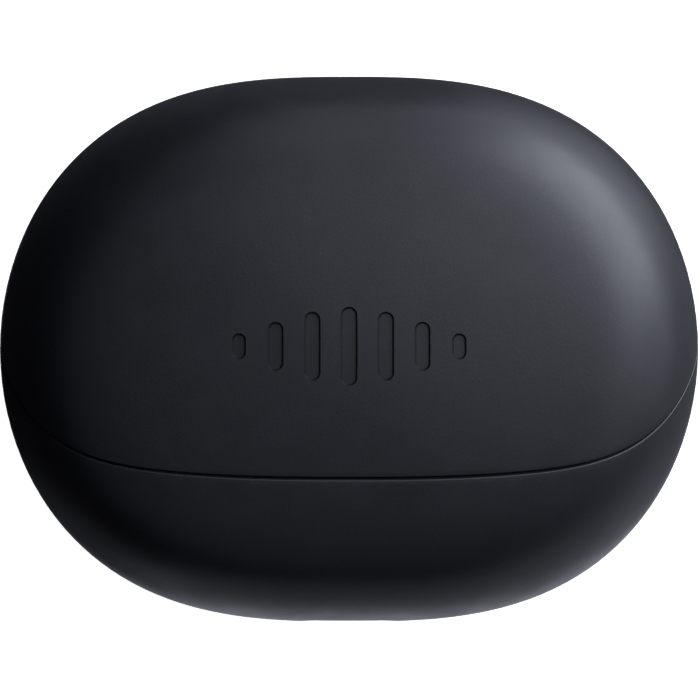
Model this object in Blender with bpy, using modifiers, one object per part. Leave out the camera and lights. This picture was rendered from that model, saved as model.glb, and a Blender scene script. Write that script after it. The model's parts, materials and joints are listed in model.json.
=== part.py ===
"""Charging case for a pair of wireless earbuds: a pebble shaped clamshell with a sprung-contact cradle.

The case lies on its back. +X runs across it, +Y points at the hinged end, away from the charging
port, and +Z points out of its front face. The origin is under its middle, on the flat it rests on.
Most pieces are laid out in the seam's own frame: x across, y towards the hinge, z into the lid.
"""

from math import atan2, cos, pi, radians, sin, sqrt

import bmesh
import bpy
from mathutils import Matrix, Vector

MM = 0.001

# The outer form: a superellipse outline, and a depth that falls off towards it.
HALF_WIDTH = 33.15 * MM
HALF_HEIGHT = 25.87 * MM
HALF_DEPTH = 15.5 * MM
OUTLINE_POWER_X = 2.82
OUTLINE_POWER_Y = 1.976
CROWN = 0.2
SIDE_POWER = 11.2
SIDE_EASE = 0.4
REST_FLAT_CUT = 0.2 * MM

# The seam is a plane through the pebble, turned away from the front face.
SEAM_TILT = radians(41.0)
SEAM_OFFSET = 0.88 * MM
SEAM_GAP = 0.25 * MM
WALL = 1.6 * MM
FIT = 0.4 * MM
GAP = 0.3 * MM
OUTER_MESH = (56, 26)
INNER_MESH = (44, 20)
SMOOTH_ANGLE = radians(35)

# The hinge, in the seam's frame.
HINGE_Y = 17.85 * MM
KNUCKLE_R = 1.2 * MM
KNUCKLE_SPAN = 9.0 * MM
LID_KNUCKLE_SPAN = 3.8 * MM
PIN_R = 0.5 * MM
PIN_BORE_R = 0.62 * MM
KNUCKLE_GAP = 0.4 * MM
GROOVE_R = 2.5 * MM
GROOVE_HALF_LENGTH = 20.5 * MM
GROOVE_POWER = 4
GROOVE_STEPS = (18, 20)
BOSS_HALF_WIDTH = 17.5 * MM
BOSS_FRONT = 13.2 * MM
BOSS_DEPTH = 5.6 * MM
LEAF_NEAR = 13.8 * MM
LEAF_FAR = 15.45 * MM
LEAF_THICK = 1.0 * MM
FINGER_FAR = 17.45 * MM
FINGER_NEAR = 14.85 * MM
LEAF_SCREW_X = 6.4 * MM
LEAF_SCREW_Y = 14.8 * MM
LEAF_SCREW_LENGTH = 3.6 * MM
LEAF_SCREW_HEAD_R = 1.0 * MM
LEAF_HEAD_DEPTH = 0.6 * MM
LEAF_HEAD_RECESS_R = 1.3 * MM
LEAF_HOLE_R = 0.7 * MM

# A screw: its head, its shank and the cross in its head. Each has a hole that its shank clears.
HEAD_THICK = 0.4 * MM
SHANK_R = 0.5 * MM
DRIVE = (0.3 * MM, 1.2 * MM)
DRIVE_DEPTH = 0.2 * MM
SEAT_CLEARANCE = 0.1 * MM
SCREW_HOLE_R = 0.8 * MM
LEAF_SCREW_HOLE_DEPTH = 4.8 * MM

# The cradle and the lid's liner, in the seam's frame. A well is two lobes: the bud and its ear tip.
INSERT_SET_BACK = 0.8 * MM
INSERT_THICK = 2.8 * MM
CUP_WALL = 1.0 * MM
LOBES = (
    ((17.5 * MM, -0.5 * MM, -0.4 * MM), (9.5 * MM, 10.5 * MM, 8.8 * MM)),
    ((8.2 * MM, 2.5 * MM, -0.4 * MM), (6.2 * MM, 6.6 * MM, 7.6 * MM)),
)
MAGNET = (5.0 * MM, 2.4 * MM, 1.6 * MM)
MAGNET_X = 6.0 * MM
MAGNET_Y = -13.4 * MM
MAGNET_DEPTH = 1.1 * MM
MAGNET_CORNER = 0.3 * MM
MAGNET_POCKET = (2.2 * MM, 4.0 * MM)
BUD_MAGNET = (5.0 * MM, 1.0 * MM, 2.4 * MM)
BUD_MAGNET_AT = (15.0 * MM, 10.15 * MM, -6.4 * MM)

# What the base holds, in the seam's frame.
BOARD_TOP = -12.3 * MM
BOARD_THICK = 0.8 * MM
BOARD_HALF_WIDTH = 22.0 * MM
BOARD_Y = (-11.0 * MM, 4.0 * MM)
BOARD_CORNER = 2.0 * MM
BOARD_SCREWS = ((20.0 * MM, 2.0 * MM), (20.0 * MM, -7.6 * MM))
BOARD_SCREW_LENGTH = 2.6 * MM
BOARD_SCREW_HEAD_R = 1.1 * MM
POST_R = 1.4 * MM
POST_TOP = -7.4 * MM
POST_HOLE_DEPTH = 2.0 * MM
CONTACT_X = (15.9 * MM, 19.1 * MM)
CONTACT_Y = -0.5 * MM
SLEEVE_R = 0.95 * MM
SLEEVE_TOP = -9.4 * MM
SLEEVE_BORE_R = 0.65 * MM
SLEEVE_FLOOR = 0.3 * MM
CONTACT_HOLE_TOP = -8.2 * MM
PLUNGER_R = 0.5 * MM
PLUNGER_TOP = -8.0 * MM
PLUNGER_LENGTH = 2.8 * MM
NOSE_LENGTH = 0.35 * MM
NOSE_OVERLAP = 0.05 * MM
NOSE_R = 0.25 * MM
BUTTON_Y = -5.8 * MM
BUTTON_R = 2.1 * MM
BUTTON_STAND = 0.3 * MM
BUTTON_THICK = 1.6 * MM
BUTTON_TRAVEL = 0.4 * MM
STEM_R = 0.9 * MM
STEM_CLEARANCE = 0.1 * MM
STEM_OVERLAP = 0.1 * MM
SWITCH = (3.0 * MM, 2.6 * MM, 1.2 * MM)
SWITCH_CORNER = 0.3 * MM
LIGHT_Y = -10.2 * MM
LIGHT_R = 0.9 * MM
LIGHT_LOW = 1.2 * MM
ON_BOARD = (
    ("status_led", "lens", (1.6 * MM, 0.8 * MM, 0.6 * MM), (0.0, LIGHT_Y)),
    ("hall_sensor", "chip", (2.9 * MM, 1.3 * MM, 1.1 * MM), (-7.5 * MM, -9.0 * MM)),
    ("charge_chip", "chip", (4.0 * MM, 4.0 * MM, 0.9 * MM), (6.0 * MM, -1.5 * MM)),
    ("battery_connector", "lens", (4.6 * MM, 2.4 * MM, 1.4 * MM), (-6.5 * MM, -1.5 * MM)),
)
CHIP_CORNER = 0.15 * MM
BATTERY = (34.0 * MM, 10.0 * MM, 4.6 * MM)
BATTERY_CENTRE = (0.0, -5.0 * MM, -16.0 * MM)
BATTERY_CORNER = 1.2 * MM
TAPE = (24.0 * MM, 8.0 * MM, 0.3 * MM)
TAPE_DEPTH = 0.3 * MM
FLEX_THICK = 0.2 * MM
FLEX_X = (2.5 * MM, 7.5 * MM)
FLEX_ROUTE = (
    (-15.4 * MM, -13.4 * MM),
    (-14.0 * MM, -11.6 * MM),
    (-12.4 * MM, -10.8 * MM),
    (-10.8 * MM, -11.1 * MM),
    (-9.7 * MM, -11.9 * MM),
    (-8.2 * MM, -12.0 * MM),
)

# The charging port, in the row's frame.
PORT_HOLE = (9.3 * MM, 12.0 * MM, 3.6 * MM)
PORT_HOLE_CORNER = 1.75 * MM
PORT_SHELL = (8.7 * MM, 7.2 * MM, 3.0 * MM)
PORT_SHELL_CORNER = 1.4 * MM
PORT_SHELL_WALL = 0.2 * MM
PORT_SHELL_BACK = 0.6 * MM
PORT_SET_BACK = 0.35 * MM
PORT_TONGUE = (6.6 * MM, 4.6 * MM, 0.7 * MM)
PORT_TONGUE_CORNER = 0.2 * MM
PORT_BOARD = (18.0 * MM, 6.2 * MM, 0.8 * MM)
PORT_BOARD_NEAR = -1.6 * MM
PORT_BOARD_CORNER = 1.0 * MM

CENTRE = Vector((0.0, 0.0, HALF_DEPTH - REST_FLAT_CUT))
FAR = 80 * MM
DEEP = -20 * MM


def clear_scene():
    for obj in list(bpy.data.objects):
        bpy.data.objects.remove(obj, do_unlink=True)


def make_collection(name, hidden=False):
    collection = bpy.data.collections.new(name)
    collection.hide_render = hidden
    bpy.context.scene.collection.children.link(collection)
    return collection


def make_material(name, colour, roughness, metallic=0.0):
    material = bpy.data.materials.new(name)
    material.use_nodes = True
    shader = material.node_tree.nodes["Principled BSDF"]
    shader.inputs["Base Color"].default_value = (*colour, 1.0)
    shader.inputs["Roughness"].default_value = roughness
    shader.inputs["Metallic"].default_value = metallic
    return material


clear_scene()
PARTS = make_collection("wireless_earbuds_case")
CUTTERS = make_collection("cutters", hidden=True)
MATERIALS = {
    "shell": make_material("soft_touch_black", (0.022, 0.023, 0.027), 0.42),
    "insert": make_material("satin_black_insert", (0.014, 0.014, 0.016), 0.3),
    "steel": make_material("stainless_steel", (0.55, 0.56, 0.58), 0.3, 1.0),
    "gold": make_material("gold_plating", (0.83, 0.6, 0.24), 0.22, 1.0),
    "magnet": make_material("nickel_plated_magnet", (0.6, 0.6, 0.62), 0.25, 1.0),
    "board": make_material("circuit_board", (0.01, 0.09, 0.05), 0.5),
    "chip": make_material("moulded_chip", (0.02, 0.02, 0.02), 0.6),
    "cell": make_material("pouch_foil", (0.5, 0.52, 0.55), 0.35, 0.8),
    "foam": make_material("foam_tape", (0.05, 0.05, 0.05), 0.9),
    "lens": make_material("light_guide", (0.85, 0.85, 0.82), 0.3),
    "flex": make_material("polyimide_flex", (0.42, 0.17, 0.03), 0.4),
}


def make_frame(name, matrix):
    frame = bpy.data.objects.new(name, None)
    frame.matrix_world = matrix
    PARTS.objects.link(frame)
    return frame


SEAM_MATRIX = Matrix.Translation(CENTRE + Vector((0, SEAM_OFFSET, 0))) @ Matrix.Rotation(
    SEAM_TILT - pi / 2, 4, "X"
)
LID_MATRIX = SEAM_MATRIX @ Matrix.Translation((0, HINGE_Y, 0))
BODY_MATRIX = Matrix.Translation(CENTRE)
PORT_MATRIX = Matrix.Translation(CENTRE + Vector((0, -HALF_HEIGHT, 0)))
SEAM = make_frame("seam_frame", SEAM_MATRIX)
LID = make_frame("lid_pivot", LID_MATRIX)


def add(name, mesh, matrix, material=None, parent=None):
    """Puts a mesh in the model at a place in the world, or among the cutters when it has no material."""
    obj = bpy.data.objects.new(name, mesh)
    if material:
        PARTS.objects.link(obj)
        mesh.materials.append(MATERIALS[material])
    else:
        CUTTERS.objects.link(obj)
        obj.hide_render = True
        obj.display_type = "WIRE"
    if parent:
        obj.parent = parent
        obj.matrix_parent_inverse = parent.matrix_basis.inverted()
    obj.matrix_basis = matrix
    return obj


def mesh_from(bm, name, smooth=False):
    mesh = bpy.data.meshes.new(name)
    bm.normal_update()
    bm.to_mesh(mesh)
    bm.free()
    if smooth:
        mesh.shade_smooth()
        mesh.set_sharp_from_angle(angle=SMOOTH_ANGLE)
    return mesh


def box_mesh(name, size, centre=(0, 0, 0), round_axis=None, radius=0.0, segments=3):
    """A box whose four edges along one axis can be rounded."""
    bm = bmesh.new()
    bmesh.ops.create_cube(bm, size=1.0)
    bmesh.ops.scale(bm, vec=size, verts=bm.verts)
    if round_axis is not None:
        along = [e for e in bm.edges if abs((e.verts[0].co - e.verts[1].co)[round_axis]) > 1e-6]
        bmesh.ops.bevel(
            bm, geom=along, offset=radius, segments=segments, affect="EDGES", profile=0.5
        )
    bmesh.ops.translate(bm, vec=centre, verts=bm.verts)
    return mesh_from(bm, name)


def cylinder_mesh(name, radius, low, high, at=(0, 0), segments=16, top_radius=None):
    """A cylinder or cone standing on z, between two heights."""
    bm = bmesh.new()
    bmesh.ops.create_cone(
        bm,
        cap_ends=True,
        segments=segments,
        radius1=radius,
        radius2=radius if top_radius is None else top_radius,
        depth=high - low,
    )
    bmesh.ops.translate(bm, vec=(at[0], at[1], (low + high) / 2), verts=bm.verts)
    return mesh_from(bm, name, smooth=True)


def bar_mesh(name, radius, low, high, segments=16):
    """A cylinder lying along x at the frame's origin."""
    mesh = cylinder_mesh(name, radius, low, high, segments=segments)
    mesh.transform(Matrix.Rotation(pi / 2, 4, "Y"))
    return mesh


def ellipsoid_mesh(name, centre, radii, segments=24, rings=12):
    bm = bmesh.new()
    bmesh.ops.create_uvsphere(bm, u_segments=segments, v_segments=rings, radius=1.0)
    bmesh.ops.scale(bm, vec=radii, verts=bm.verts)
    bmesh.ops.translate(bm, vec=centre, verts=bm.verts)
    return mesh_from(bm, name, smooth=True)


def signed_power(value, power):
    return abs(value) ** power * (1 if value >= 0 else -1)


def depth_share(ring):
    """How deep the pebble is at a ring from its axis (0) to its outline (1), as a share of its half depth."""
    side = 1 - ring**SIDE_POWER
    return (1 - CROWN * ring**2) * sqrt(max(0.0, side * (side + SIDE_EASE) / (1 + SIDE_EASE)))


def pebble_mesh(name, inset=0.0, fineness=INNER_MESH):
    """The outer form, or the same form drawn in by an inset."""
    segments, rings = fineness
    bm = bmesh.new()
    bmesh.ops.create_uvsphere(bm, u_segments=segments, v_segments=rings, radius=1.0)
    for vert in bm.verts:
        x, y, z = vert.co
        ring = min(1.0, sqrt(x * x + y * y))
        angle = atan2(y, x)
        vert.co.x = ring * (HALF_WIDTH - inset) * signed_power(cos(angle), 2 / OUTLINE_POWER_X)
        vert.co.y = ring * (HALF_HEIGHT - inset) * signed_power(sin(angle), 2 / OUTLINE_POWER_Y)
        vert.co.z = (HALF_DEPTH - inset) * depth_share(ring) * (1 if z > 0 else -1)
        if abs(z) < 1e-6:
            vert.co.z = 0.0
    return mesh_from(bm, name, smooth=True)


def boolean(obj, operation, other):
    modifier = obj.modifiers.new(f"{operation.lower()}_{other.name}", "BOOLEAN")
    modifier.operation = operation
    modifier.solver = "EXACT"
    modifier.object = other


def cut(obj, mesh, matrix=SEAM_MATRIX):
    boolean(obj, "DIFFERENCE", add(mesh.name, mesh, matrix))


def join(obj, mesh, matrix=SEAM_MATRIX):
    boolean(obj, "UNION", add(mesh.name, mesh, matrix))


def keep(obj, mesh, matrix=SEAM_MATRIX):
    boolean(obj, "INTERSECT", add(mesh.name, mesh, matrix))


def slab(name, low, high, half_width=FAR, y_range=(-FAR, FAR)):
    """A box in the seam's frame between two heights."""
    size = (2 * half_width, y_range[1] - y_range[0], high - low)
    return box_mesh(name, size, (0, sum(y_range) / 2, (low + high) / 2))


def groove_radius(x):
    """The groove's radius at a place along it: even over the hinge, and drawn in at its two ends."""
    return GROOVE_R * sqrt(max(0.0, 1 - (x / GROOVE_HALF_LENGTH) ** GROOVE_POWER))


def hinge_groove(name):
    """A spindle round the hinge's axis: as wide as the two shells' edges sweep when the lid turns."""
    along, around = GROOVE_STEPS
    places = [GROOVE_HALF_LENGTH * cos(pi * i / along) for i in range(along + 1)]
    bm = bmesh.new()
    points = [bm.verts.new((groove_radius(x), 0, x)) for x in places]
    for first, second in zip(points, points[1:]):
        bm.edges.new((first, second))
    obj = add(name, mesh_from(bm, name), LID_MATRIX @ Matrix.Rotation(pi / 2, 4, "Y"))
    screw = obj.modifiers.new("turn", "SCREW")
    screw.steps = screw.render_steps = around
    screw.use_merge_vertices = True
    screw.merge_threshold = 1e-6
    return obj


def hollow(name, low, high):
    """The room inside the walls, less the block that the hinge is fixed in."""
    room = add(name, pebble_mesh(name, WALL), BODY_MATRIX)
    block = slab(f"{name}_hinge_block", low, high, BOSS_HALF_WIDTH, (BOSS_FRONT, FAR))
    cut(room, block)
    return room


def leaf_pocket(obj, side):
    """Room in a hinge block for its leaf and the leaf's two screws. side is 1 in the lid, -1 in the base."""
    deep = side * (GAP + LEAF_THICK + GAP)
    low, high = sorted((deep, -side * MM))
    half_width = KNUCKLE_SPAN + GAP
    y_range = (LEAF_NEAR - GAP, HINGE_Y)
    cut(obj, slab(f"{obj.name}_leaf_pocket", low, high, half_width, y_range))
    for x in (-LEAF_SCREW_X, LEAF_SCREW_X):
        low, high = sorted((side * MM, side * LEAF_SCREW_HOLE_DEPTH))
        at = (x, LEAF_SCREW_Y)
        cut(obj, cylinder_mesh(f"{obj.name}_leaf_screw_hole", SCREW_HOLE_R, low, high, at, 12))


def base_shell():
    outer = pebble_mesh("base_shell", fineness=OUTER_MESH)
    shell = add("base_shell", outer, BODY_MATRIX, "shell")
    cut(shell, slab("above_seam", -SEAM_GAP / 2, FAR))
    boolean(shell, "DIFFERENCE", hollow("base_room", -BOSS_DEPTH, FAR))
    boolean(shell, "DIFFERENCE", hinge_groove("base_groove"))
    leaf_pocket(shell, -1)
    rest = box_mesh("rest_flat", (FAR, FAR, FAR), (0, 0, -FAR / 2))
    cut(shell, rest, Matrix.Identity(4))
    cut(shell, box_mesh("port_hole", PORT_HOLE, (0, 0, 0), 1, PORT_HOLE_CORNER, 5), PORT_MATRIX)


def lid_shell():
    outer = pebble_mesh("lid_shell", fineness=OUTER_MESH)
    shell = add("lid_shell", outer, BODY_MATRIX, "shell", LID)
    cut(shell, slab("below_seam", -FAR, SEAM_GAP / 2))
    boolean(shell, "DIFFERENCE", hollow("lid_room", -FAR, BOSS_DEPTH))
    boolean(shell, "DIFFERENCE", hinge_groove("lid_groove"))
    leaf_pocket(shell, 1)


def lobe_meshes(name, grow, side):
    """The four lobes of the two wells, grown by a wall. side is 1 where they rise into the lid."""
    for hand in (-1, 1):
        for i, ((x, y, z), radii) in enumerate(LOBES):
            centre = (hand * x, y, -side * z)
            grown = tuple(r + grow for r in radii)
            yield ellipsoid_mesh(f"{name}_{'left' if hand < 0 else 'right'}_{i + 1}", centre, grown)


def insert(name, side, parent=None):
    """The moulding in one half of the case: a plate with two wells. side is 1 in the lid."""
    moulding = add(name, pebble_mesh(name, WALL + FIT), BODY_MATRIX, "insert", parent)
    near, far = side * INSERT_SET_BACK, side * (INSERT_SET_BACK + INSERT_THICK)
    keep(moulding, slab(f"{name}_plate", *sorted((near, far))))
    bay_end = side * (BOSS_DEPTH + FIT)
    low, high = sorted((-side * MM, bay_end))
    bay = (BOSS_FRONT - FIT, FAR)
    cut(moulding, slab(f"{name}_hinge_bay", low, high, BOSS_HALF_WIDTH + FIT, bay))
    for cup in lobe_meshes(f"{name}_cup", CUP_WALL, side):
        join(moulding, cup)
    low, high = sorted((near, -side * FAR))
    cut(moulding, slab(f"{name}_mouth", low, high))
    for room in lobe_meshes(f"{name}_well", 0.0, side):
        cut(moulding, room)
    for x in (-MAGNET_X, MAGNET_X):
        depth, height = MAGNET_POCKET
        size = (MAGNET[0] + 2 * GAP, MAGNET[1] + 2 * GAP, height)
        centre = (x, MAGNET_Y, far - side * depth + side * height / 2)
        cut(moulding, box_mesh(f"{name}_magnet_pocket", size, centre))
    return moulding


def cradle():
    tray = insert("cradle_tray", -1)
    for hand in (-1, 1):
        for x, y in BOARD_SCREWS:
            at = (hand * x, y)
            join(tray, cylinder_mesh("board_post", POST_R, BOARD_TOP + GAP, POST_TOP, at))
            hole_top = BOARD_TOP + POST_HOLE_DEPTH
            cut(tray, cylinder_mesh("board_post_hole", SCREW_HOLE_R, DEEP, hole_top, at, 12))
        for x in CONTACT_X:
            hole = (SLEEVE_R + GAP, DEEP, CONTACT_HOLE_TOP, (hand * x, CONTACT_Y))
            cut(tray, cylinder_mesh("contact_hole", *hole))
    for y, radius in ((BUTTON_Y, BUTTON_R), (LIGHT_Y, LIGHT_R)):
        cut(tray, cylinder_mesh("tray_hole", radius + GAP, DEEP, MM, (0, y), 20))


def magnets(name, side, parent=None):
    for hand, word in ((-1, "left"), (1, "right")):
        middle = side * (INSERT_SET_BACK + INSERT_THICK - MAGNET_DEPTH)
        mesh = box_mesh(f"{name}_{word}", MAGNET, (0, 0, 0), 2, MAGNET_CORNER, 2)
        place = SEAM_MATRIX @ Matrix.Translation((hand * MAGNET_X, MAGNET_Y, middle))
        add(f"{name}_{word}", mesh, place, "magnet", parent)


def bud_magnets():
    """Behind each well, to hold a bud down on its contacts."""
    x, y, z = BUD_MAGNET_AT
    for hand, word in ((-1, "left"), (1, "right")):
        mesh = box_mesh(f"bud_magnet_{word}", BUD_MAGNET, (0, 0, 0), 1, MAGNET_CORNER, 2)
        place = SEAM_MATRIX @ Matrix.Translation((hand * x, y, z))
        add(f"bud_magnet_{word}", mesh, place, "magnet", SEAM)


def leaf(name, side, spans, parent):
    """One half of the hinge: a plate in its block, with fingers that end in knuckles round the pin."""
    low, high = sorted((side * GAP, side * (GAP + LEAF_THICK)))
    plate = slab(name, low, high, KNUCKLE_SPAN, (LEAF_NEAR, LEAF_FAR))
    obj = add(name, plate, SEAM_MATRIX, "steel", parent)
    for x_low, x_high in spans:
        centre = ((x_low + x_high) / 2, (FINGER_NEAR + FINGER_FAR) / 2, (low + high) / 2)
        size = (x_high - x_low, FINGER_FAR - FINGER_NEAR, LEAF_THICK)
        join(obj, box_mesh(f"{name}_finger", size, centre))
        join(obj, bar_mesh(f"{name}_knuckle", KNUCKLE_R, x_low, x_high, 20), LID_MATRIX)
    span = KNUCKLE_SPAN + MM
    cut(obj, bar_mesh(f"{name}_bore", PIN_BORE_R, -span, span, 20), LID_MATRIX)
    for x in (-LEAF_SCREW_X, LEAF_SCREW_X):
        at = (x, LEAF_SCREW_Y)
        through = LEAF_THICK + MM
        cut(obj, cylinder_mesh(f"{name}_screw_hole", LEAF_HOLE_R, -through, through, at))
        head = sorted((0.0, side * (GAP + LEAF_HEAD_DEPTH)))
        cut(obj, cylinder_mesh(f"{name}_head_recess", LEAF_HEAD_RECESS_R, *head, at, 20))


def screw(name, at, head_at, into, head_r, length, parent):
    """A pan head screw along z. into is the way its shank points, 1 or -1."""
    head = cylinder_mesh(name, head_r, *sorted((head_at, head_at - into * HEAD_THICK)), at, 18)
    obj = add(name, head, SEAM_MATRIX, "steel", parent)
    shank = sorted((head_at - into * HEAD_THICK / 4, head_at + into * length))
    join(obj, cylinder_mesh(f"{name}_shank", SHANK_R, *shank, at, 12))
    drive = sorted((head_at - into * HEAD_THICK * 2, head_at - into * DRIVE_DEPTH))
    middle = (at[0], at[1], sum(drive) / 2)
    for size in (DRIVE, reversed(DRIVE)):
        cut(obj, box_mesh(f"{name}_drive", (*size, drive[1] - drive[0]), middle))


def hinge():
    inner = LID_KNUCKLE_SPAN + KNUCKLE_GAP
    base_spans = ((-KNUCKLE_SPAN, -inner), (inner, KNUCKLE_SPAN))
    leaf("hinge_base_leaf", -1, base_spans, SEAM)
    leaf("hinge_lid_leaf", 1, ((-LID_KNUCKLE_SPAN, LID_KNUCKLE_SPAN),), LID)
    pin = bar_mesh("hinge_pin", PIN_R, -KNUCKLE_SPAN - GAP, KNUCKLE_SPAN + GAP)
    add("hinge_pin", pin, LID_MATRIX, "steel", SEAM)
    for side, word, parent in ((-1, "base", SEAM), (1, "lid", LID)):
        for i, x in enumerate((-LEAF_SCREW_X, LEAF_SCREW_X)):
            name, at = f"{word}_leaf_screw_{i + 1}", (x, LEAF_SCREW_Y)
            seat = side * (GAP + LEAF_HEAD_DEPTH - SEAT_CLEARANCE)
            screw(name, at, seat, side, LEAF_SCREW_HEAD_R, LEAF_SCREW_LENGTH, parent)


def contacts():
    number = 0
    for hand in (-1, 1):
        for x in CONTACT_X:
            number += 1
            name, low = f"contact_sleeve_{number}", BOARD_TOP + GAP
            place = SEAM_MATRIX @ Matrix.Translation((hand * x, CONTACT_Y, 0))
            sleeve = cylinder_mesh(name, SLEEVE_R, low, SLEEVE_TOP)
            obj = add(name, sleeve, place, "gold", SEAM)
            cut(obj, cylinder_mesh("contact_bore", SLEEVE_BORE_R, low + SLEEVE_FLOOR, 0), place)
            name, shank_top = f"contact_plunger_{number}", NOSE_OVERLAP - NOSE_LENGTH
            top = place @ Matrix.Translation((0, 0, PLUNGER_TOP))
            shank = cylinder_mesh(name, PLUNGER_R, -PLUNGER_LENGTH, shank_top)
            plunger = add(name, shank, top, "gold", SEAM)
            nose = cylinder_mesh("contact_nose", PLUNGER_R, -NOSE_LENGTH, 0, top_radius=NOSE_R)
            join(plunger, nose, top)


def button():
    top = -INSERT_SET_BACK + BUTTON_STAND
    place = SEAM_MATRIX @ Matrix.Translation((0, BUTTON_Y, top))
    cap = cylinder_mesh("pairing_button", BUTTON_R, -BUTTON_THICK, 0, segments=28)
    obj = add("pairing_button", cap, place, "insert", SEAM)
    switch_top = BOARD_TOP + GAP + SWITCH[2]
    stem_end = switch_top + BUTTON_TRAVEL + STEM_CLEARANCE - top
    stem_top = STEM_OVERLAP - BUTTON_THICK
    join(obj, cylinder_mesh("button_stem", STEM_R, stem_end, stem_top), place)
    switch = box_mesh("button_switch", SWITCH, (0, 0, 0), 2, SWITCH_CORNER, 2)
    middle = SEAM_MATRIX @ Matrix.Translation((0, BUTTON_Y, switch_top - SWITCH[2] / 2))
    add("button_switch", switch, middle, "chip", SEAM)


def electronics():
    low = BOARD_TOP - BOARD_THICK
    size = (2 * BOARD_HALF_WIDTH, BOARD_Y[1] - BOARD_Y[0], BOARD_THICK)
    centre = (0, sum(BOARD_Y) / 2, BOARD_TOP - BOARD_THICK / 2)
    plate = box_mesh("main_board", size, centre, 2, BOARD_CORNER)
    board = add("main_board", plate, SEAM_MATRIX, "board", SEAM)
    number = 0
    for hand in (-1, 1):
        for x, y in BOARD_SCREWS:
            number += 1
            name, at, seat = f"board_screw_{number}", (hand * x, y), low - SEAT_CLEARANCE
            cut(board, cylinder_mesh("board_hole", SCREW_HOLE_R, DEEP, 0, at))
            screw(name, at, seat, 1, BOARD_SCREW_HEAD_R, BOARD_SCREW_LENGTH, SEAM)
    for name, material, size, (x, y) in ON_BOARD:
        place = SEAM_MATRIX @ Matrix.Translation((x, y, BOARD_TOP + GAP / 2 + size[2] / 2))
        add(name, box_mesh(name, size, (0, 0, 0), 2, CHIP_CORNER, 2), place, material, SEAM)
    span = (BOARD_TOP + LIGHT_LOW, -INSERT_SET_BACK)
    pipe = cylinder_mesh("light_pipe", LIGHT_R, *span, (0, LIGHT_Y), 20)
    add("light_pipe", pipe, SEAM_MATRIX, "lens", SEAM)
    tape = box_mesh("battery_tape", TAPE, (0, BATTERY_CENTRE[1], low - TAPE_DEPTH))
    add("battery_tape", tape, SEAM_MATRIX, "foam", SEAM)
    cell = box_mesh("battery_cell", BATTERY, BATTERY_CENTRE, 0, BATTERY_CORNER, 4)
    add("battery_cell", cell, SEAM_MATRIX, "cell", SEAM)


def flex_cable():
    """A flat ribbon that bridges the two boards: an open strip, thickened."""
    bm = bmesh.new()
    rows = [[bm.verts.new((x, y, z)) for x in FLEX_X] for y, z in FLEX_ROUTE]
    for (a, b), (c, d) in zip(rows, rows[1:]):
        bm.faces.new((a, b, d, c))
    obj = add("flex_cable", mesh_from(bm, "flex_cable"), SEAM_MATRIX, "flex", SEAM)
    solidify = obj.modifiers.new("thickness", "SOLIDIFY")
    solidify.thickness = FLEX_THICK
    solidify.offset = 0.0


def port():
    width, length, height = PORT_SHELL
    middle = PORT_MATRIX @ Matrix.Translation((0, PORT_SET_BACK + length / 2, 0))
    can = box_mesh("port_shell", PORT_SHELL, (0, 0, 0), 1, PORT_SHELL_CORNER, 5)
    shell = add("port_shell", can, middle, "steel")
    inner = (width - 2 * PORT_SHELL_WALL, length, height - 2 * PORT_SHELL_WALL)
    corner = PORT_SHELL_CORNER - PORT_SHELL_WALL
    cut(shell, box_mesh("port_mouth", inner, (0, -PORT_SHELL_BACK, 0), 1, corner, 5), middle)
    tongue_y = length / 2 - PORT_SHELL_BACK - GAP - PORT_TONGUE[1] / 2
    tongue = box_mesh("port_tongue", PORT_TONGUE, (0, tongue_y, 0), 1, PORT_TONGUE_CORNER, 2)
    add("port_tongue", tongue, middle, "chip")
    board_y = PORT_BOARD[1] / 2 + PORT_BOARD_NEAR
    board_z = height / 2 + GAP + PORT_BOARD[2] / 2
    board = box_mesh("port_board", PORT_BOARD, (0, board_y, board_z), 2, PORT_BOARD_CORNER)
    add("port_board", board, middle, "board")


def main():
    base_shell()
    lid_shell()
    cradle()
    insert("lid_liner", 1, LID)
    magnets("base_magnet", -1, SEAM)
    magnets("lid_magnet", 1, LID)
    bud_magnets()
    hinge()
    contacts()
    button()
    electronics()
    flex_cable()
    port()


main()
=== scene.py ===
"""The looks of the wireless earbuds case: fine shells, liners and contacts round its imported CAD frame."""

import json
from math import cos, pi, radians, sin, sqrt, tan

import bmesh
import bpy
import numpy as np
from mathutils import Matrix, Vector


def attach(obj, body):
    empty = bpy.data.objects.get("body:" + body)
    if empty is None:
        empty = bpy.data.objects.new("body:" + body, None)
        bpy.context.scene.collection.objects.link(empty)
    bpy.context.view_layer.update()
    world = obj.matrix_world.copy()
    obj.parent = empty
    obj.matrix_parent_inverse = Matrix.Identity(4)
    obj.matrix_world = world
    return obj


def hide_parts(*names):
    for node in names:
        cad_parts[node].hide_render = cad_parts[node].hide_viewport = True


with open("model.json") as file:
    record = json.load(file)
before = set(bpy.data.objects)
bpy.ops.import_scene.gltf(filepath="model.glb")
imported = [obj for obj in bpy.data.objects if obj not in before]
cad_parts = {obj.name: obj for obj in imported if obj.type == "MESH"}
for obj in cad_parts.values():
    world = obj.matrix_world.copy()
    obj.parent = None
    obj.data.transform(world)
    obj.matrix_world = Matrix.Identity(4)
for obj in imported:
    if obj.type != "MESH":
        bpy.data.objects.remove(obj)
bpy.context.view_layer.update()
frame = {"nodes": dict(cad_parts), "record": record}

MM = 0.001

# The pebble, as the CAD has it: a superellipse outline and a depth that falls off towards it.
HALF_WIDTH = 33.15 * MM
HALF_HEIGHT = 25.87 * MM
HALF_DEPTH = 15.5 * MM
OUTLINE_POWER_X = 2.82
OUTLINE_POWER_Y = 1.976
CROWN = 0.2
SIDE_POWER = 11.2
SIDE_EASE = 0.4
REST_FLAT_CUT = 0.2 * MM

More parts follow.
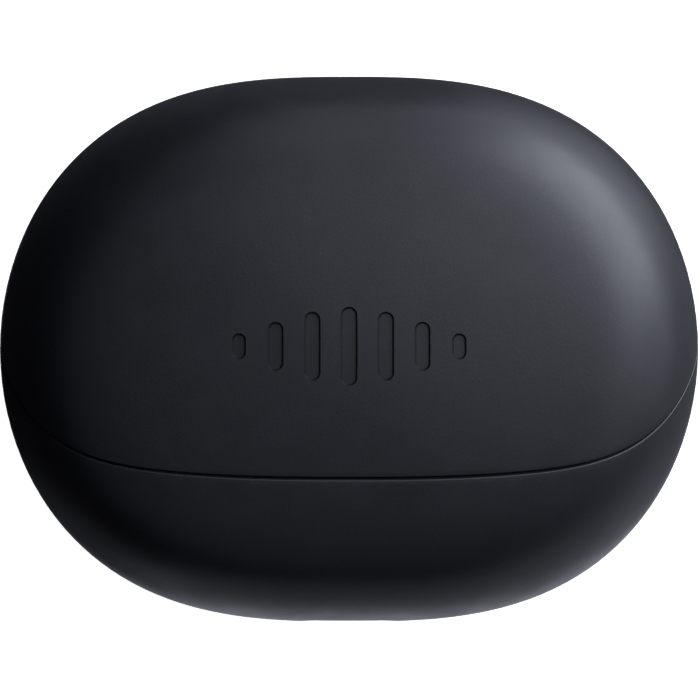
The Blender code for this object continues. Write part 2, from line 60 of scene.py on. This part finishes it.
# The seam and the walls.
SEAM_TILT = radians(41.0)
SEAM_OFFSET = 0.88 * MM
SEAM_GAP = 0.25 * MM
SEAM_EDGE = 0.08 * MM
SEAM_EDGE_STEPS = 4
RIM_ROWS = (1.05 * MM, 0.8 * MM, 0.55 * MM)
WALL = 1.6 * MM
FIT = 0.4 * MM

# The hinge, in the seam's frame.
HINGE_Y = 17.85 * MM
GROOVE_R = 2.5 * MM
GROOVE_HALF_LENGTH = 20.5 * MM
BOSS_HALF_WIDTH = 17.5 * MM
BOSS_FRONT = 13.2 * MM
BOSS_DEPTH = 5.6 * MM
LEAF_NEAR = 13.8 * MM
LEAF_ROOM = 1.6 * MM
LEAF_HALF_WIDTH = 9.3 * MM
LEAF_GAP = 0.3 * MM

# The wells, in the seam's frame.
INSERT_SET_BACK = 0.8 * MM
INSERT_THICK = 2.8 * MM
CUP_WALL = 1.0 * MM
WELL_LIP = 0.5 * MM
FACE_TOLERANCE = 0.02 * MM
LOBES = (
    ((17.5 * MM, -0.5 * MM, 0.4 * MM), (9.5 * MM, 10.5 * MM, 8.8 * MM)),
    ((8.2 * MM, 2.5 * MM, 0.4 * MM), (6.2 * MM, 6.6 * MM, 7.6 * MM)),
)
CONTACT_X = (15.9 * MM, 19.1 * MM)
CONTACT_Y = -0.5 * MM
CONTACT_HOLE_R = 1.25 * MM
CONTACT_HOLE_TOP = -8.2 * MM
PLUNGER_TOP = -8.0 * MM
BUTTON_Y = -5.8 * MM
BUTTON_R = 2.1 * MM
BUTTON_STAND = 0.3 * MM
LIGHT_Y = -10.2 * MM
LIGHT_R = 0.9 * MM
HOLE_GAP = 0.3 * MM

# Turned pieces: radius and height in mm, from the middle of the foot to the middle of the top.
BUTTON_CAP = (
    (0, -9.8), (0.9, -9.8), (0.9, -1.6), (2.0, -1.6), (2.1, -1.5), (2.1, -0.2), (2.07, -0.1),
    (2.0, -0.03), (1.9, 0), (1.6, -0.02), (1.1, -0.08), (0.6, -0.11), (0, -0.12),
)  # fmt: skip
LIGHT_WINDOW = ((0, -10.3), (0.9, -10.3), (0.9, -0.15), (0.86, -0.06), (0.78, 0), (0, 0))
CONTACT_CUP = (
    (0, -12.0), (0.95, -12.0), (0.95, -9.5), (0.92, -9.43), (0.85, -9.4), (0.72, -9.4),
    (0.66, -9.45), (0.65, -9.55), (0.65, -11.7), (0, -11.7),
)  # fmt: skip
CONTACT_TIP = (
    (0, -2.8), (0.5, -2.8), (0.5, -0.4), (0.47, -0.24), (0.39, -0.11), (0.25, -0.03), (0.12, 0), (0, 0),
)  # fmt: skip

# The charging port and the mark on the front.
PORT_HOLE = (9.3 * MM, 12.0 * MM, 3.6 * MM)
PORT_CORNER = 1.75 * MM
PORT_EDGE = 0.12 * MM
PORT_EDGE_REACH = 0.8 * MM
MARK_BARS = tuple(height * MM for height in (2.6, 4.6, 6.4, 7.3, 6.4, 4.6, 2.6))
MARK_PITCH = 3.4 * MM
MARK_BAR_WIDTH = 1.5 * MM
MARK_CUTTER_HEIGHT = 1.6 * MM
MARK_Y = 0.25 * MM
MARK_DEPTH = 0.45 * MM
MARK_DRAFT = 0.4
MARK_Z = 30.7 * MM
MARK_EDGE = 0.045 * MM

CENTRE = Vector((0.0, 0.0, HALF_DEPTH - REST_FLAT_CUT))
SEAM = Matrix.Translation(CENTRE + Vector((0, SEAM_OFFSET, 0))) @ Matrix.Rotation(
    SEAM_TILT - pi / 2, 4, "X"
)
HINGE = SEAM @ Matrix.Translation((0, HINGE_Y, 0))
PORT = Matrix.Translation(CENTRE + Vector((0, -HALF_HEIGHT, 0)))
FAR = 80 * MM
DEEP = -20 * MM
OVERLAP = 3 * MM
OUTER_MESH = (208, 66)
INNER_MESH = (120, 40)
INSERT_MESH = (144, 44)
LAST_ROW_ANGLE = radians(86.5)
HALVINGS = 30
ALMOST_HALF = 0.499
SHARP_ANGLE = 32
TURNED_SHARP_ANGLE = 50
CAD_SHARP_ANGLE = 35
WELD = 1e-7


# ---------------------------------------------------------------- the pebble's surface


def ring_at(x, y, inset):
    """0 on the pebble's axis and 1 on its outline, by halving."""
    low, high = np.full(x.shape, 1e-6), np.full(x.shape, 2.5)
    for _ in range(HALVINGS):
        middle = (low + high) / 2
        outside = (
            np.abs(x / (HALF_WIDTH - inset) / middle) ** OUTLINE_POWER_X
            + np.abs(y / (HALF_HEIGHT - inset) / middle) ** OUTLINE_POWER_Y
        ) > 1
        low = np.where(outside, middle, low)
        high = np.where(outside, high, middle)
    return (low + high) / 2


def inside_pebble(points, inset):
    """Whether points in the row's frame are inside the pebble."""
    x, y, z = (points - np.array(CENTRE)).T
    ring = ring_at(x, y, inset)
    side = 1 - np.minimum(ring, 1) ** SIDE_POWER
    share = (1 - CROWN * ring**2) * np.sqrt(side * (side + SIDE_EASE) / (1 + SIDE_EASE))
    return (ring < 1) & (np.abs(z) < (HALF_DEPTH - inset) * share)


def cast(starts, ways, inset):
    """Where rays from inside the pebble leave it, by halving."""
    low, high = np.zeros(len(starts)), np.full(len(starts), FAR / 2)
    for _ in range(HALVINGS):
        middle = (low + high) / 2
        within = inside_pebble(starts + ways * middle[:, None], inset)
        low = np.where(within, middle, low)
        high = np.where(within, high, middle)
    return starts + ways * low[:, None]


def half_pebble(name, side, inset=0.0, edge=0.0, end=SEAM_GAP / 2, fineness=OUTER_MESH):
    """The pebble on one side of the seam as a closed mesh. edge rounds its rim, and end is its height."""
    around, polar = fineness
    to_row = np.array(SEAM.to_3x3())
    origin = np.array(SEAM.translation)
    angle = np.arange(around) * 2 * pi / around
    flat = np.stack([np.cos(angle), np.sin(angle), np.zeros(around)], axis=1)
    up = np.array([0, 0, side])
    rows = []
    for i in range(1, polar + 1):
        tip = LAST_ROW_ANGLE * i / polar
        ways = flat * sin(tip) + up * cos(tip)
        rows.append(cast(np.repeat(origin[None], around, 0), ways @ to_row.T, inset))
    heights = [*RIM_ROWS, SEAM_GAP / 2 + edge]
    if edge:
        turns = [i / SEAM_EDGE_STEPS * pi / 2 for i in range(1, SEAM_EDGE_STEPS + 1)]
        heights += [SEAM_GAP / 2 + edge * (1 - sin(turn)) for turn in turns]
    for height in heights:
        start = origin + to_row @ (up * height)
        row = cast(np.repeat(start[None], around, 0), flat @ to_row.T, inset)
        if edge:
            fall = max(0.0, 1 - (height - SEAM_GAP / 2) / edge)
            row -= (flat @ to_row.T) * edge * (1 - sqrt(max(0.0, 1 - fall * fall)))
        rows.append(row)
    if end < SEAM_GAP / 2:
        rows.append(rows[-1] + to_row @ (up * (end - SEAM_GAP / 2)))
    pole = cast(origin[None], (up @ to_row.T)[None], inset)[0]
    points = np.concatenate([pole[None]] + rows)
    points[:, 2] = np.maximum(points[:, 2], 0.0)
    faces = [(0, 1 + (j + 1) % around, 1 + j) for j in range(around)]
    for i in range(len(rows) - 1):
        low = 1 + i * around
        for j in range(around):
            k = (j + 1) % around
            faces.append((low + j, low + k, low + around + k, low + around + j))
    last = 1 + (len(rows) - 1) * around
    faces.append(tuple(last + j for j in range(around)))
    mesh = bpy.data.meshes.new(name)
    mesh.from_pydata([tuple(p) for p in points], [], faces)
    return fixed_normals(mesh)


# ---------------------------------------------------------------- mesh helpers


def fixed_normals(mesh):
    bm = bmesh.new()
    bm.from_mesh(mesh)
    bmesh.ops.recalc_face_normals(bm, faces=bm.faces)
    bm.to_mesh(mesh)
    bm.free()
    return mesh


def show(name, mesh, matrix=Matrix.Identity(4)):
    mesh.transform(matrix)
    obj = bpy.data.objects.new(name, mesh)
    bpy.context.scene.collection.objects.link(obj)
    return obj


def box_mesh(size, centre=(0, 0, 0), round_axis=None, radius=0.0, segments=6):
    bm = bmesh.new()
    bmesh.ops.create_cube(bm, size=1.0)
    bmesh.ops.scale(bm, vec=size, verts=bm.verts)
    if round_axis is not None:
        along = [e for e in bm.edges if abs((e.verts[0].co - e.verts[1].co)[round_axis]) > 1e-6]
        bmesh.ops.bevel(
            bm, geom=along, offset=radius, segments=segments, affect="EDGES", profile=0.5
        )
    bmesh.ops.translate(bm, vec=centre, verts=bm.verts)
    return mesh_of(bm)


def slab_mesh(low, high, half_width=FAR, y_range=(-FAR, FAR)):
    size = (2 * half_width, y_range[1] - y_range[0], high - low)
    return box_mesh(size, (0, sum(y_range) / 2, (low + high) / 2))


def mesh_of(bm):
    mesh = bpy.data.meshes.new("piece")
    bmesh.ops.recalc_face_normals(bm, faces=bm.faces)
    bm.to_mesh(mesh)
    bm.free()
    return mesh


def turned_mesh(profile, segments=48):
    """A closed shape turned about z from (radius, height) points, the first and last on the axis."""
    bm = bmesh.new()
    rings = []
    for radius, height in profile:
        if radius < 1e-7:
            rings.append([bm.verts.new((0, 0, height))])
            continue
        angles = [2 * pi * i / segments for i in range(segments)]
        rings.append([bm.verts.new((radius * cos(a), radius * sin(a), height)) for a in angles])
    for first, second in zip(rings, rings[1:]):
        for i in range(segments):
            j = (i + 1) % segments
            loop = [first[i % len(first)], first[j % len(first)]]
            loop += [second[j % len(second)], second[i % len(second)]]
            corners = list(dict.fromkeys(loop))
            if len(corners) > 2:
                bm.faces.new(corners)
    return mesh_of(bm)


def cylinder_mesh(radius, low, high, at=(0, 0), segments=48):
    mesh = turned_mesh([(0, low), (radius, low), (radius, high), (0, high)], segments)
    mesh.transform(Matrix.Translation((at[0], at[1], 0)))
    return mesh


def ellipsoid_mesh(centre, radii, segments=72, rings=40):
    bm = bmesh.new()
    bmesh.ops.create_uvsphere(bm, u_segments=segments, v_segments=rings, radius=1.0)
    bmesh.ops.scale(bm, vec=radii, verts=bm.verts)
    bmesh.ops.translate(bm, vec=centre, verts=bm.verts)
    return mesh_of(bm)


def carve(obj, operation, mesh, matrix=Matrix.Identity(4)):
    """A Boolean with a helper that is gone afterwards."""
    tool = show("tool", mesh, matrix)
    modifier = obj.modifiers.new("carve", "BOOLEAN")
    modifier.operation = operation
    modifier.solver = "EXACT"
    modifier.object = tool
    apply_modifiers(obj)
    bpy.data.objects.remove(tool, do_unlink=True)


def apply_modifiers(obj):
    graph = bpy.context.evaluated_depsgraph_get()
    mesh = bpy.data.meshes.new_from_object(obj.evaluated_get(graph))
    obj.modifiers.clear()
    obj.data = mesh


def round_edges(obj, chosen, offset, segments=2, least=radians(30)):
    """Bevels the sharp edges that a test picks by their middle point."""
    weld(obj)
    bm = bmesh.new()
    bm.from_mesh(obj.data)
    bm.normal_update()
    edges = [
        e
        for e in bm.edges
        if len(e.link_faces) == 2
        and e.calc_face_angle(0) > least
        and chosen((e.verts[0].co + e.verts[1].co) / 2)
    ]
    bmesh.ops.bevel(
        bm, geom=edges, offset=offset, segments=segments, affect="EDGES", clamp_overlap=True
    )
    bm.to_mesh(obj.data)
    bm.free()


def weld(obj):
    """Closes the hair-thin splits that a Boolean can leave."""
    bm = bmesh.new()
    bm.from_mesh(obj.data)
    bmesh.ops.remove_doubles(bm, verts=bm.verts, dist=WELD)
    bm.to_mesh(obj.data)
    bm.free()


def smooth(obj, angle=SHARP_ANGLE):
    weld(obj)
    obj.data.shade_smooth()
    obj.data.set_sharp_from_angle(angle=radians(angle))
    normals = obj.modifiers.new("even_normals", "WEIGHTED_NORMAL")
    normals.keep_sharp = True
    normals.weight = 60


# ---------------------------------------------------------------- materials


class Graph:
    """A material's nodes, wired in a row."""

    def __init__(self, name, colour, roughness, metallic=0.0):
        self.material = bpy.data.materials.new(name)
        self.material.use_nodes = True
        self.nodes = self.material.node_tree.nodes
        self.links = self.material.node_tree.links
        self.shader = self.nodes["Principled BSDF"]
        self.shader.inputs["Base Color"].default_value = (*colour, 1)
        self.shader.inputs["Roughness"].default_value = roughness
        self.shader.inputs["Metallic"].default_value = metallic
        self.place = self.nodes.new("ShaderNodeTexCoord").outputs["Object"]
        self.height = None

    def stretched(self, scale):
        mapping = self.nodes.new("ShaderNodeMapping")
        mapping.inputs["Scale"].default_value = scale
        self.links.new(self.place, mapping.inputs["Vector"])
        return mapping.outputs["Vector"]

    def noise(self, scale, detail=3.0, stretch=None):
        node = self.nodes.new("ShaderNodeTexNoise")
        node.inputs["Scale"].default_value = scale
        node.inputs["Detail"].default_value = detail
        self.links.new(self.stretched(stretch) if stretch else self.place, node.inputs["Vector"])
        return node.outputs["Fac"]

    def cells(self, scale, feature="F1"):
        node = self.nodes.new("ShaderNodeTexVoronoi")
        node.feature = feature
        node.inputs["Scale"].default_value = scale
        self.links.new(self.place, node.inputs["Vector"])
        return node.outputs["Distance"]

    def ramp(self, value, stops):
        node = self.nodes.new("ShaderNodeValToRGB")
        ramp = node.color_ramp
        while len(ramp.elements) < len(stops):
            ramp.elements.new(0.5)
        for element, (place, colour) in zip(ramp.elements, stops):
            element.position = place
            element.color = (*colour, 1)
        self.links.new(value, node.inputs["Fac"])
        return node.outputs["Color"]

    def spread(self, value, low, high, start=0.3, stop=0.7):
        node = self.nodes.new("ShaderNodeMapRange")
        ends = {"From Min": start, "From Max": stop, "To Min": low, "To Max": high}
        for socket, number in ends.items():
            node.inputs[socket].default_value = number
        self.links.new(value, node.inputs["Value"])
        return node.outputs["Result"]

    def colour(self, value, stops):
        self.links.new(self.ramp(value, stops), self.shader.inputs["Base Color"])

    def roughness(self, value, low, high, start=0.3, stop=0.7):
        self.links.new(self.spread(value, low, high, start, stop), self.shader.inputs["Roughness"])

    def bump(self, value, distance, strength=1.0):
        node = self.nodes.new("ShaderNodeBump")
        node.inputs["Distance"].default_value = distance
        node.inputs["Strength"].default_value = strength
        self.links.new(value, node.inputs["Height"])
        if self.height:
            self.links.new(self.height, node.inputs["Normal"])
        self.height = node.outputs["Normal"]
        self.links.new(self.height, self.shader.inputs["Normal"])


def moulded(name, dark, light, roughness, grain=6200, grain_depth=0.0068 * MM, patch=120):
    """A moulded plastic: a fine even grain, and slow changes of tone and gloss from handling."""
    graph = Graph(name, dark, roughness)
    graph.colour(graph.noise(patch, 4), ((0.3, dark), (0.7, light)))
    graph.roughness(graph.noise(patch * 2.3, 5), roughness - 0.035, roughness + 0.035)
    graph.bump(graph.noise(grain, 2), grain_depth)
    graph.bump(graph.cells(grain * 0.6), grain_depth * 0.5)
    return graph


def soft_touch():
    graph = moulded("soft_touch_black", (0.0075, 0.0080, 0.0095), (0.0095, 0.0100, 0.0120), 0.40)
    graph.shader.inputs["IOR"].default_value = 1.5
    graph.shader.inputs["Sheen Weight"].default_value = 0.03
    graph.shader.inputs["Sheen Roughness"].default_value = 0.4
    return graph.material


def insert_plastic():
    return moulded(
        "satin_insert", (0.010, 0.010, 0.012), (0.014, 0.014, 0.016), 0.34, 12000, 0.003 * MM
    ).material


def metal(name, dark, light, roughness, stretch=(1, 1, 1), grain=3000, depth=0.002 * MM):
    graph = Graph(name, light, roughness, 1.0)
    graph.colour(graph.noise(grain * 0.2, 4, stretch), ((0.3, dark), (0.7, light)))
    graph.roughness(graph.noise(grain * 0.4, 3, stretch), roughness - 0.06, roughness + 0.08)
    graph.bump(graph.noise(grain, 3, stretch), depth)
    return graph.material


def circuit_board():
    """Green mask over a fine pattern of tracks and lands."""
    graph = Graph("circuit_board", (0.01, 0.09, 0.05), 0.4)
    tracks = graph.cells(900, "DISTANCE_TO_EDGE")
    graph.colour(tracks, ((0.02, (0.02, 0.16, 0.08)), (0.12, (0.006, 0.055, 0.03))))
    graph.roughness(graph.noise(500, 4), 0.3, 0.45)
    graph.bump(tracks, 0.01 * MM)
    return graph.material


def pouch_foil():
    graph = Graph("pouch_foil", (0.55, 0.57, 0.6), 0.35, 0.9)
    graph.colour(graph.noise(260, 5), ((0.3, (0.42, 0.44, 0.47)), (0.7, (0.62, 0.64, 0.67))))
    graph.roughness(graph.noise(420, 4), 0.26, 0.42)
    graph.bump(graph.cells(380), 0.03 * MM)
    return graph.material


def foam_tape():
    graph = Graph("foam_tape", (0.04, 0.04, 0.04), 0.9)
    graph.colour(graph.cells(3500), ((0.2, (0.02, 0.02, 0.02)), (0.8, (0.07, 0.07, 0.07))))
    graph.bump(graph.cells(3500), 0.03 * MM)
    return graph.material


def light_guide():
    graph = Graph("light_guide", (0.82, 0.82, 0.8), 0.25)
    graph.colour(graph.noise(500, 3), ((0.3, (0.74, 0.74, 0.72)), (0.7, (0.86, 0.86, 0.84))))
    graph.roughness(graph.noise(900, 3), 0.2, 0.32)
    graph.bump(graph.noise(5000, 2), 0.002 * MM)
    graph.shader.inputs["Subsurface Weight"].default_value = 0.2
    graph.shader.inputs["Subsurface Scale"].default_value = 0.5 * MM
    return graph.material


def polyimide():
    graph = Graph("polyimide_flex", (0.4, 0.16, 0.03), 0.35)
    tracks = graph.noise(900, 2, (6, 0.2, 0.2))
    graph.colour(tracks, ((0.42, (0.30, 0.11, 0.02)), (0.55, (0.55, 0.25, 0.06))))
    graph.roughness(graph.noise(700, 3), 0.28, 0.4)
    graph.bump(tracks, 0.01 * MM)
    return graph.material


def chip_plastic():
    return moulded("moulded_chip", (0.012, 0.012, 0.012), (0.02, 0.02, 0.021), 0.55, 7000).material


FINISHES = {
    "shell": soft_touch(),
    "insert": insert_plastic(),
    "steel": metal("satin_steel", (0.42, 0.43, 0.45), (0.6, 0.61, 0.63), 0.3, (1, 14, 14)),
    "gold": metal("gold_plating", (0.72, 0.48, 0.17), (0.9, 0.66, 0.3), 0.2),
    "magnet": metal("nickel_plate", (0.55, 0.55, 0.56), (0.68, 0.67, 0.66), 0.22),
    "board": circuit_board(),
    "chip": chip_plastic(),
    "cell": pouch_foil(),
    "foam": foam_tape(),
    "lens": light_guide(),
    "flex": polyimide(),
}


def dress(obj, slot):
    obj.data.materials.clear()
    obj.data.materials.append(FINISHES[slot])


def stand_in(obj, node, slot):
    """Makes a new piece ride with and look like the CAD node that it replaces, and hides that node."""
    dress(obj, slot)
    bodies = frame["record"]["behaviour"]["bodies"]
    body = next(name for name, nodes in bodies.items() if node in nodes)
    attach(obj, body)
    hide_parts(node)


def dress_frame():
    """The CAD nodes that stay take the finish of their record slot."""
    for entry in frame["record"]["subparts"]:
        obj = frame["nodes"][entry["node"]]
        obj.data.materials.clear()
        obj.data.materials.append(FINISHES[entry["material_slot"]])
        obj.data.shade_smooth()
        obj.data.set_sharp_from_angle(angle=radians(CAD_SHARP_ANGLE))


# ---------------------------------------------------------------- the shells


def groove_mesh():
    """The spindle round the hinge that both shells' edges are cut back to."""
    steps = 48
    profile = []
    for i in range(steps + 1):
        x = -GROOVE_HALF_LENGTH * cos(pi * i / steps)
        profile.append((GROOVE_R * sqrt(max(0.0, 1 - (x / GROOVE_HALF_LENGTH) ** 4)), x))
    mesh = turned_mesh(profile, 64)
    mesh.transform(Matrix.Rotation(pi / 2, 4, "Y"))
    return mesh


def shell(name, side):
    """One half of the case, with its hinge block, groove and leaf pocket. side is 1 for the lid."""
    obj = show(name, half_pebble(name, side, 0.0, SEAM_EDGE))
    # The groove comes while the half is solid: cut from the hollow lid, the solver misses it.
    carve(obj, "DIFFERENCE", groove_mesh(), HINGE)
    room = show("room", half_pebble("room", side, WALL, 0.0, -OVERLAP, INNER_MESH))
    block = sorted((-side * 2 * OVERLAP, side * BOSS_DEPTH))
    carve(room, "DIFFERENCE", slab_mesh(*block, BOSS_HALF_WIDTH, (BOSS_FRONT, FAR)), SEAM)
    room_mesh = room.data
    bpy.data.objects.remove(room, do_unlink=True)
    carve(obj, "DIFFERENCE", room_mesh)
    pocket = sorted((-side * MM, side * LEAF_ROOM))
    y_range = (LEAF_NEAR - LEAF_GAP, HINGE_Y)
    carve(obj, "DIFFERENCE", slab_mesh(*pocket, LEAF_HALF_WIDTH, y_range), SEAM)
    return obj


def mark_cutter():
    """Seven upright bars like a sound wave, as deep as the mark everywhere."""
    bars = None
    for i, height in enumerate(MARK_BARS):
        x = (i - (len(MARK_BARS) - 1) / 2) * MARK_PITCH
        size = (MARK_BAR_WIDTH, height, MARK_CUTTER_HEIGHT)
        mesh = box_mesh(size, (x, MARK_Y, MARK_Z), 2, MARK_BAR_WIDTH * ALMOST_HALF, 8)
        reach = (size[1] - size[0]) / 2
        for vert in mesh.vertices:
            spine = Vector((x, min(max(vert.co.y, MARK_Y - reach), MARK_Y + reach), vert.co.z))
            out = (vert.co - spine).normalized()
            vert.co += out * (vert.co.z - MARK_Z) * MARK_DRAFT
        if bars is None:
            bars = show("mark_bars", mesh)
        else:
            carve(bars, "UNION", mesh)
    floor = half_pebble("mark_floor", 1, MARK_DEPTH, 0.0, -OVERLAP)
    carve(bars, "DIFFERENCE", floor)
    mesh = bars.data
    bpy.data.objects.remove(bars, do_unlink=True)
    return mesh


def lid_skin():
    obj = shell("lid_skin", 1)
    carve(obj, "DIFFERENCE", mark_cutter())
    reach_x = len(MARK_BARS) / 2 * MARK_PITCH
    lowest = MARK_Z - MARK_CUTTER_HEIGHT

    def in_mark(point):
        return abs(point.x) < reach_x and abs(point.y) < max(MARK_BARS) and point.z > lowest

    round_edges(obj, in_mark, MARK_EDGE, 2)
    smooth(obj)
    stand_in(obj, "lid_shell", "shell")


def base_skin():
    obj = shell("base_skin", -1)
    carve(obj, "DIFFERENCE", box_mesh(PORT_HOLE, (0, 0, 0), 1, PORT_CORNER, 14), PORT)

    def at_port(point):
        at = point - PORT.translation
        return abs(at.x) < PORT_HOLE[0] and abs(at.z) < PORT_HOLE[2] and at.y < PORT_EDGE_REACH

    round_edges(obj, at_port, PORT_EDGE, 3)
    smooth(obj)
    stand_in(obj, "base_shell", "shell")


# ---------------------------------------------------------------- what shows with the lid open


def insert(name, side):
    """The moulding in one half: a plate with two wells of two lobes each. side is 1 in the lid."""
    obj = show(name, half_pebble(name, side, WALL + FIT, fineness=INSERT_MESH))
    near, far = side * INSERT_SET_BACK, side * (INSERT_SET_BACK + INSERT_THICK)
    carve(obj, "INTERSECT", slab_mesh(*sorted((near, far))), SEAM)
    for grow, operation in ((CUP_WALL, "UNION"), (0.0, "DIFFERENCE")):
        for hand in (-1, 1):
            for (x, y, z), radii in LOBES:
                lobe = ellipsoid_mesh((hand * x, y, -side * -z), tuple(r + grow for r in radii))
                carve(obj, operation, lobe, SEAM)
        if operation == "UNION":
            mouth = sorted((near, -side * FAR))
            carve(obj, "DIFFERENCE", slab_mesh(*mouth), SEAM)
    bay = sorted((-side * OVERLAP, side * (BOSS_DEPTH + FIT)))
    bay_y = (BOSS_FRONT - FIT, FAR)
    carve(obj, "DIFFERENCE", slab_mesh(*bay, BOSS_HALF_WIDTH + FIT, bay_y), SEAM)
    return obj


def lip_test(side):
    """Picks the edges round the wells' mouths and the plate's rim, in the plate's face."""
    to_seam = SEAM.inverted()
    return lambda point: abs((to_seam @ point).z - side * INSERT_SET_BACK) < FACE_TOLERANCE


def tray_skin():
    obj = insert("cradle_skin", -1)
    round_edges(obj, lip_test(-1), WELL_LIP, 4, radians(20))
    for hand in (-1, 1):
        for x in CONTACT_X:
            hole = (CONTACT_HOLE_R, DEEP, CONTACT_HOLE_TOP, (hand * x, CONTACT_Y))
            carve(obj, "DIFFERENCE", cylinder_mesh(*hole), SEAM)
    for y, radius in ((BUTTON_Y, BUTTON_R), (LIGHT_Y, LIGHT_R)):
        hole = cylinder_mesh(radius + HOLE_GAP, DEEP, OVERLAP, (0, y))
        carve(obj, "DIFFERENCE", hole, SEAM)
    smooth(obj)
    stand_in(obj, "cradle_tray", "insert")


def liner_skin():
    obj = insert("liner_skin", 1)
    round_edges(obj, lip_test(1), WELL_LIP, 4, radians(20))
    smooth(obj)
    stand_in(obj, "lid_liner", "insert")


def turned(name, node, slot, profile, at):
    """A turned piece that stands along the seam frame's z, in place of a CAD node."""
    mesh = turned_mesh([(radius * MM, height * MM) for radius, height in profile])
    obj = show(name, mesh, SEAM @ Matrix.Translation(at))
    smooth(obj, TURNED_SHARP_ANGLE)
    stand_in(obj, node, slot)


def small_parts():
    """The button, the light's window and the sprung contacts, with the edges that they really have."""
    face = -INSERT_SET_BACK
    turned("button_cap", "pairing_button", "insert", BUTTON_CAP, (0, BUTTON_Y, face + BUTTON_STAND))
    turned("light_window", "light_pipe", "lens", LIGHT_WINDOW, (0, LIGHT_Y, face))
    places = [(hand * x, CONTACT_Y) for hand in (-1, 1) for x in CONTACT_X]
    for i, (x, y) in enumerate(places):
        number = i + 1
        cup, tip = f"contact_cup_{number}", f"contact_tip_{number}"
        turned(cup, f"contact_sleeve_{number}", "gold", CONTACT_CUP, (x, y, 0))
        turned(tip, f"contact_plunger_{number}", "gold", CONTACT_TIP, (x, y, PLUNGER_TOP))


# ---------------------------------------------------------------- stage, light and camera

VIEW_WIDTH = 66.48 * MM
LENS = 300.0
SENSOR = 36.0
AIM = Vector((0.09 * MM, -0.085 * MM, CENTRE.z))
FLOOR_Z = -16 * MM
PLINTH = (42 * MM, 23 * MM)
PLINTH_Y = -6 * MM
PLINTH_CORNER = 8 * MM
PLINTH_GAP = 0.05 * MM
LIGHT_TINT = (0.90, 0.93, 1.08)


def stage_material(name, colour, glow):
    graph = Graph(name, colour, 0.8)
    graph.colour(graph.noise(30, 2), ((0.3, colour), (0.7, tuple(c * 1.02 for c in colour))))
    graph.shader.inputs["Emission Color"].default_value = (1, 1, 1, 1)
    graph.shader.inputs["Emission Strength"].default_value = glow
    return graph.material


def stage():
    bm = bmesh.new()
    bmesh.ops.create_grid(bm, x_segments=8, y_segments=8, size=3.0)
    floor = show("floor", mesh_of(bm), Matrix.Translation((0, 0, FLOOR_Z)))
    size = (*PLINTH, -FLOOR_Z - PLINTH_GAP)
    middle = (0, PLINTH_Y, -PLINTH_GAP - size[2] / 2)
    plinth = show("plinth", box_mesh(size, middle, 2, PLINTH_CORNER, 12))
    smooth(plinth)
    pale = stage_material("pale_floor", (0.8, 0.8, 0.8), 0.9)
    for obj in (floor, plinth):
        obj.data.materials.append(pale)
        obj.visible_glossy = False
        obj.visible_diffuse = False
        obj.visible_shadow = False


def softbox(name, azimuth, elevation, spans, brightness, distance):
    """A soft light: its bearing from +X towards +Y, its height angle, and the angles that it spans."""
    light = bpy.data.lights.new(name, "AREA")
    light.shape = "RECTANGLE"
    light.size, light.size_y = (2 * distance * tan(radians(span) / 2) for span in spans)
    light.energy = brightness * pi * light.size * light.size_y
    light.color = LIGHT_TINT
    obj = bpy.data.objects.new(name, light)
    a, e = radians(azimuth), radians(elevation)
    way = Vector((cos(a) * cos(e), sin(a) * cos(e), sin(e)))
    obj.location = CENTRE + way * distance
    obj.rotation_euler = way.to_track_quat("Z", "Y").to_euler()
    obj.visible_camera = False
    bpy.context.scene.collection.objects.link(obj)


def lights():
    softbox("key_wide", 41, 17, (110, 100), 0.85, 0.6)
    softbox("key_core", 37, 16, (51, 61), 4.04, 0.5)
    softbox("key_low", 48, -14, (50, 72), 0.55, 0.45)
    softbox("overhead", 46, 68, (27, 35), 1.71, 0.7)
    softbox("top_fill", 246, 77, (99, 100), 0.11, 0.65)
    softbox("right_fill", -34, -23, (79, 100), 0.12, 0.4)
    softbox("front_low", -73, -29, (79, 61), 0.21, 0.35)
    softbox("front_under", -75, -80, (35, 43), 0.93, 0.4)
    softbox("left_low", 240, -45, (40, 40), 0.07, 0.4)
    world = bpy.data.worlds.new("studio")
    world.use_nodes = True
    background = world.node_tree.nodes["Background"]
    background.inputs["Color"].default_value = (0.95, 0.96, 1.0, 1)
    background.inputs["Strength"].default_value = 1.0
    world.cycles_visibility.glossy = False
    world.cycles_visibility.diffuse = False
    bpy.context.scene.world = world
    bpy.context.scene.view_settings.view_transform = "Standard"


def camera():
    data = bpy.data.cameras.new("camera")
    data.lens = LENS
    data.sensor_width = SENSOR
    data.clip_end = 10
    obj = bpy.data.objects.new("camera", data)
    distance = VIEW_WIDTH * LENS / SENSOR
    obj.location = AIM + Vector((0, 0, distance))
    bpy.context.scene.collection.objects.link(obj)
    bpy.context.scene.camera = obj


dress_frame()
lid_skin()
base_skin()
tray_skin()
liner_skin()
small_parts()
stage()
lights()
camera()
